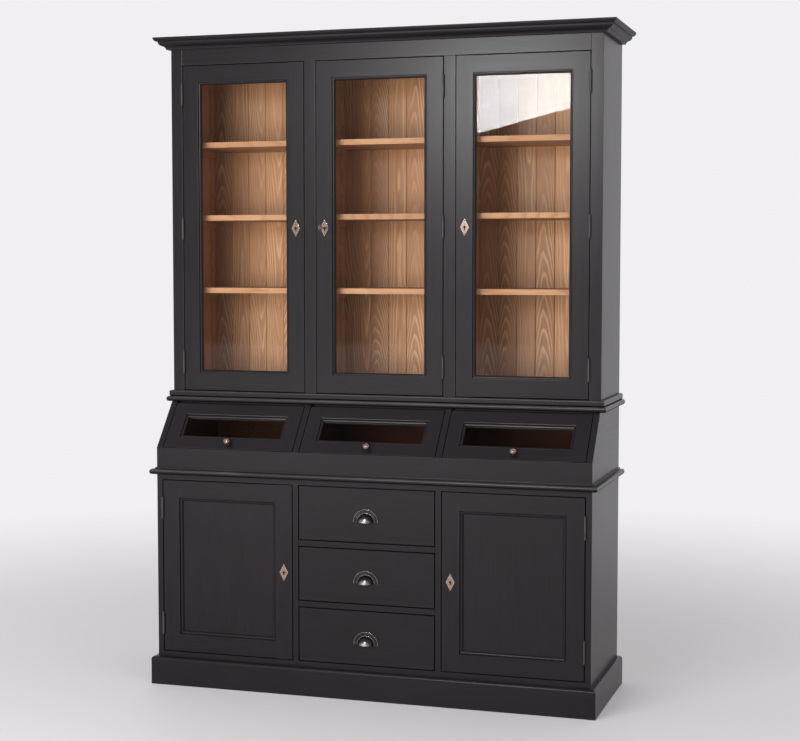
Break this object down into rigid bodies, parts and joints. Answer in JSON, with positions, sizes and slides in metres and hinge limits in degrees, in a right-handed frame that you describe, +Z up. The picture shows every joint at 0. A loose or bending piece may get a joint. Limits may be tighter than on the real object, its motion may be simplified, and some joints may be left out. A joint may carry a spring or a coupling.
{
  "type": "china cabinet",
  "caption": "Free-standing painted country dresser with glazed upper doors, lift-up glazed bin flaps, panelled cupboards and drawers with cup pulls.",
  "frame": {"origin": "on the floor, at the middle of the footprint", "axes": "+Z up, -Y out of the front, +X to the right as seen from the front"},
  "size_m": [1.594, 0.494, 2.206],
  "materials": {
    "charcoal_paint": "satin charcoal paint over wood",
    "brown_boards": "brushed and waxed brown boards",
    "honey_wood": "waxed honey-coloured wood",
    "door_glass": "clear float glass",
    "dark_steel": "dark steel, partly painted over",
    "antique_brass": "aged brass",
    "pewter": "dark pewter",
    "bronze": "worn bronze"
  },
  "bodies": {
    "case": {"plinth": "charcoal_paint", "base_case": "charcoal_paint", "counter_board": "charcoal_paint", "back_panels": "honey_wood", "drawer_rails": "charcoal_paint", "bin_case": "charcoal_paint", "bin_top": "charcoal_paint", "upper_bottom": "charcoal_paint", "upper_case": "charcoal_paint", "upper_face_frame": "charcoal_paint", "cornice": "charcoal_paint", "back_boards": "brown_boards", "shelves": "honey_wood", "shelf_supports": "honey_wood", "frame_hinges": "dark_steel", "pivot_pins": "dark_steel"},
    "upper_left_door": {"upper_left_door_frame": "charcoal_paint", "upper_left_door_glass": "door_glass", "upper_left_door_hinges": "dark_steel", "upper_left_door_lock": "antique_brass"},
    "upper_left_door_bolt": {"upper_left_door_bolt": "dark_steel"},
    "upper_middle_door": {"upper_middle_door_frame": "charcoal_paint", "upper_middle_door_glass": "door_glass", "upper_middle_door_hinges": "dark_steel", "upper_middle_door_lock": "antique_brass"},
    "upper_middle_door_bolt": {"upper_middle_door_bolt": "dark_steel"},
    "upper_right_door": {"upper_right_door_frame": "charcoal_paint", "upper_right_door_glass": "door_glass", "upper_right_door_hinges": "dark_steel", "upper_right_door_lock": "antique_brass"},
    "upper_right_door_bolt": {"upper_right_door_bolt": "dark_steel"},
    "lower_left_door": {"lower_left_door_frame": "charcoal_paint", "lower_left_door_panel": "charcoal_paint", "lower_left_door_hinges": "dark_steel", "lower_left_door_lock": "antique_brass"},
    "lower_left_door_bolt": {"lower_left_door_bolt": "dark_steel"},
    "lower_right_door": {"lower_right_door_frame": "charcoal_paint", "lower_right_door_panel": "charcoal_paint", "lower_right_door_hinges": "dark_steel", "lower_right_door_lock": "antique_brass"},
    "lower_right_door_bolt": {"lower_right_door_bolt": "dark_steel"},
    "bottom_drawer": {"bottom_drawer_front": "charcoal_paint", "bottom_drawer_box": "honey_wood", "bottom_drawer_pull": "pewter"},
    "middle_drawer": {"middle_drawer_front": "charcoal_paint", "middle_drawer_box": "honey_wood", "middle_drawer_pull": "pewter"},
    "top_drawer": {"top_drawer_front": "charcoal_paint", "top_drawer_box": "honey_wood", "top_drawer_pull": "pewter"},
    "left_flap": {"left_flap_frame": "charcoal_paint", "left_flap_glass": "door_glass", "left_flap_knob": "bronze"},
    "middle_flap": {"middle_flap_frame": "charcoal_paint", "middle_flap_glass": "door_glass", "middle_flap_knob": "bronze"},
    "right_flap": {"right_flap_frame": "charcoal_paint", "right_flap_glass": "door_glass", "right_flap_knob": "bronze"},
    "key": {"key": "dark_steel"}
  },
  "joints": [
    {"name": "upper_left_door_swing", "type": "hinge", "parent": "case", "child": "upper_left_door", "pos_m": [-0.7088, -0.0875, 1.5555], "axis": [0, 0, -1], "range_deg": [0, 110]},
    {"name": "upper_left_door_bolt_slide", "type": "slide", "parent": "upper_left_door", "child": "upper_left_door_bolt", "axis": [1, 0, 0], "range_m": [0, 0.008]},
    {"name": "upper_middle_door_swing", "type": "hinge", "parent": "case", "child": "upper_middle_door", "pos_m": [0.22213, -0.0875, 1.5555], "axis": [0, 0, 1], "range_deg": [0, 110]},
    {"name": "upper_middle_door_bolt_slide", "type": "slide", "parent": "upper_middle_door", "child": "upper_middle_door_bolt", "axis": [-1, 0, 0], "range_m": [0, 0.008]},
    {"name": "upper_right_door_swing", "type": "hinge", "parent": "case", "child": "upper_right_door", "pos_m": [0.7088, -0.0875, 1.5555], "axis": [0, 0, 1], "range_deg": [0, 110]},
    {"name": "upper_right_door_bolt_slide", "type": "slide", "parent": "upper_right_door", "child": "upper_right_door_bolt", "axis": [-1, 0, 0], "range_m": [0, 0.008]},
    {"name": "lower_left_door_swing", "type": "hinge", "parent": "case", "child": "lower_left_door", "pos_m": [-0.7288, -0.2275, 0.4085], "axis": [0, 0, -1], "range_deg": [0, 110]},
    {"name": "lower_left_door_bolt_slide", "type": "slide", "parent": "lower_left_door", "child": "lower_left_door_bolt", "axis": [1, 0, 0], "range_m": [0, 0.008]},
    {"name": "lower_right_door_swing", "type": "hinge", "parent": "case", "child": "lower_right_door", "pos_m": [0.7288, -0.2275, 0.4085], "axis": [0, 0, 1], "range_deg": [0, 110]},
    {"name": "lower_right_door_bolt_slide", "type": "slide", "parent": "lower_right_door", "child": "lower_right_door_bolt", "axis": [-1, 0, 0], "range_m": [0, 0.008]},
    {"name": "bottom_drawer_slide", "type": "slide", "parent": "case", "child": "bottom_drawer", "axis": [0, -1, 0], "range_m": [0, 0.3]},
    {"name": "middle_drawer_slide", "type": "slide", "parent": "case", "child": "middle_drawer", "axis": [0, -1, 0], "range_m": [0, 0.3]},
    {"name": "top_drawer_slide", "type": "slide", "parent": "case", "child": "top_drawer", "axis": [0, -1, 0], "range_m": [0, 0.3]},
    {"name": "left_flap_lift", "type": "hinge", "parent": "case", "child": "left_flap", "pos_m": [-0.49333, -0.10354, 0.93901], "axis": [-1, 0, 0], "range_deg": [0, 55]},
    {"name": "middle_flap_lift", "type": "hinge", "parent": "case", "child": "middle_flap", "pos_m": [0, -0.10354, 0.93901], "axis": [-1, 0, 0], "range_deg": [0, 55]},
    {"name": "right_flap_lift", "type": "hinge", "parent": "case", "child": "right_flap", "pos_m": [0.49333, -0.10354, 0.93901], "axis": [-1, 0, 0], "range_deg": [0, 55]},
    {"name": "key_turn", "type": "hinge", "parent": "upper_middle_door", "child": "key", "pos_m": [-0.19193, -0.083, 1.5555], "axis": [0, 1, 0], "range_deg": [0, 90]}
  ],
  "couplings": [
    {"joint": "upper_middle_door_bolt_slide", "follows": "key_turn", "m_per_rad": 0.00509}
  ]
}
